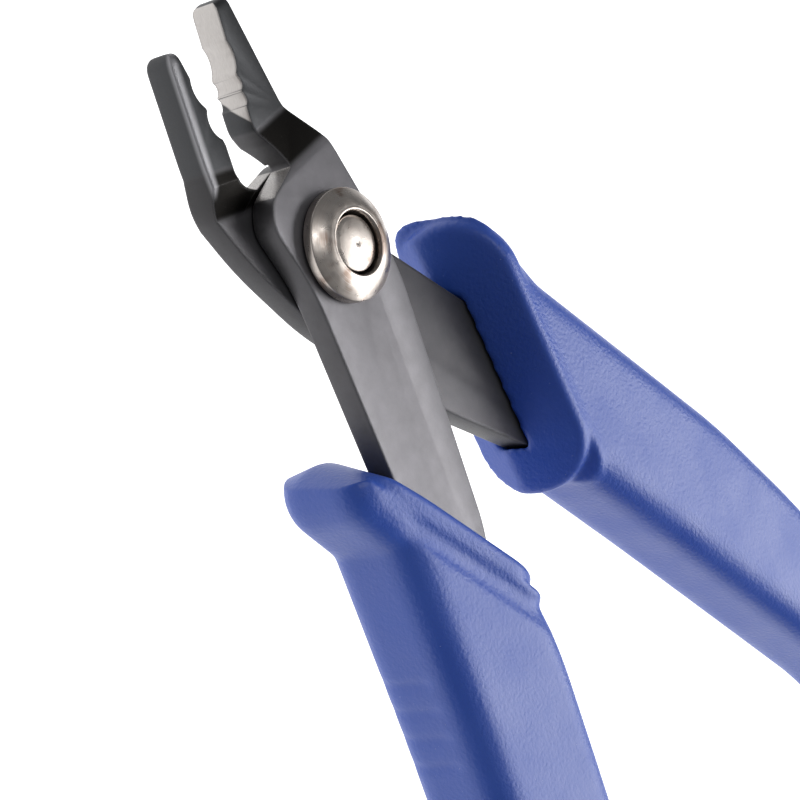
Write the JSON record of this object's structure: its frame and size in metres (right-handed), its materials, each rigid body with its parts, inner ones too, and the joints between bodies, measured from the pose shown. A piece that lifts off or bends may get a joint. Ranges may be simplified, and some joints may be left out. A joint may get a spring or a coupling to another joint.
{
  "type": "crimping pliers",
  "caption": "Small hand pliers for crimping wire tubes: offset notched jaws, lapped steel levers on a bolted pivot, and moulded grips.",
  "frame": {"origin": "centre of the underside of the open tool's bounding box, lying on its back face", "axes": "+Z out of the plate face that carries the domed nut, +X forward along the front lever's jaw, +Y to the left with the jaws pointing away"},
  "size_m": [0.141, 0.0856, 0.0137],
  "materials": {
    "blackened_steel": "black oxide, satin",
    "polished_steel": "polished nickel-bright steel",
    "blue_grip": "soft satin vinyl with a fine orange-peel skin"
  },
  "bodies": {
    "front_half": {"front_lever": "blackened_steel", "pivot_bolt": "polished_steel", "pivot_nut": "polished_steel", "front_grip": "blue_grip"},
    "rear_half": {"rear_lever": "blackened_steel", "rear_grip": "blue_grip"}
  },
  "joints": [
    {"name": "squeeze", "type": "hinge", "parent": "front_half", "child": "rear_half", "pos_m": [0.04252, 0.01428, 0.00726], "axis": [0, 0, -1], "range_deg": [-8, 15]}
  ]
}
